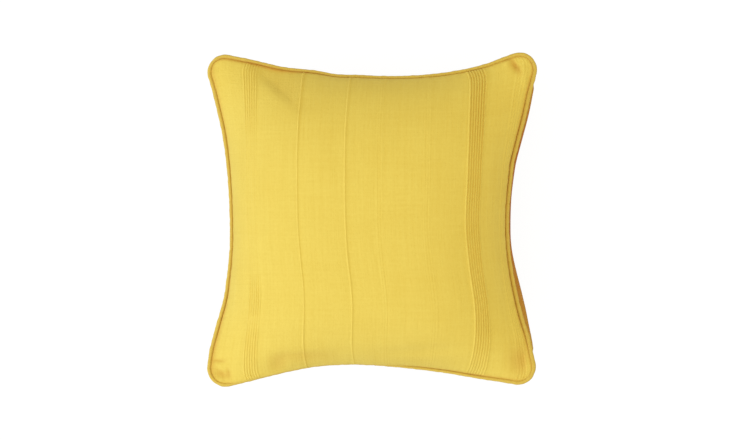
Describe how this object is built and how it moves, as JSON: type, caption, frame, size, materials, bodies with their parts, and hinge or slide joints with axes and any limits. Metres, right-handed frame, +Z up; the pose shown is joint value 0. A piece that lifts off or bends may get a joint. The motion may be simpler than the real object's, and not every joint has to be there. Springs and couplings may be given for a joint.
{
  "type": "cushion cover",
  "caption": "Square cotton cushion cover with woven ribs down its front and covered piping round its seam, filled and lying on its back.",
  "frame": {"origin": "under the middle of the cushion, on the surface that its back lies on", "axes": "+Z up out of the ribbed front panel, +X across the ribs to the picture's right, +Y along the ribs to the picture's top"},
  "size_m": [0.433, 0.4359, 0.1419],
  "materials": {
    "panel_cloth": "matt plain-weave cotton with woven ribs",
    "piping_cloth": "matt plain-weave cotton over cord"
  },
  "bodies": {
    "root": {"cushion_body": "panel_cloth", "piping": "piping_cloth"}
  },
  "joints": []
}
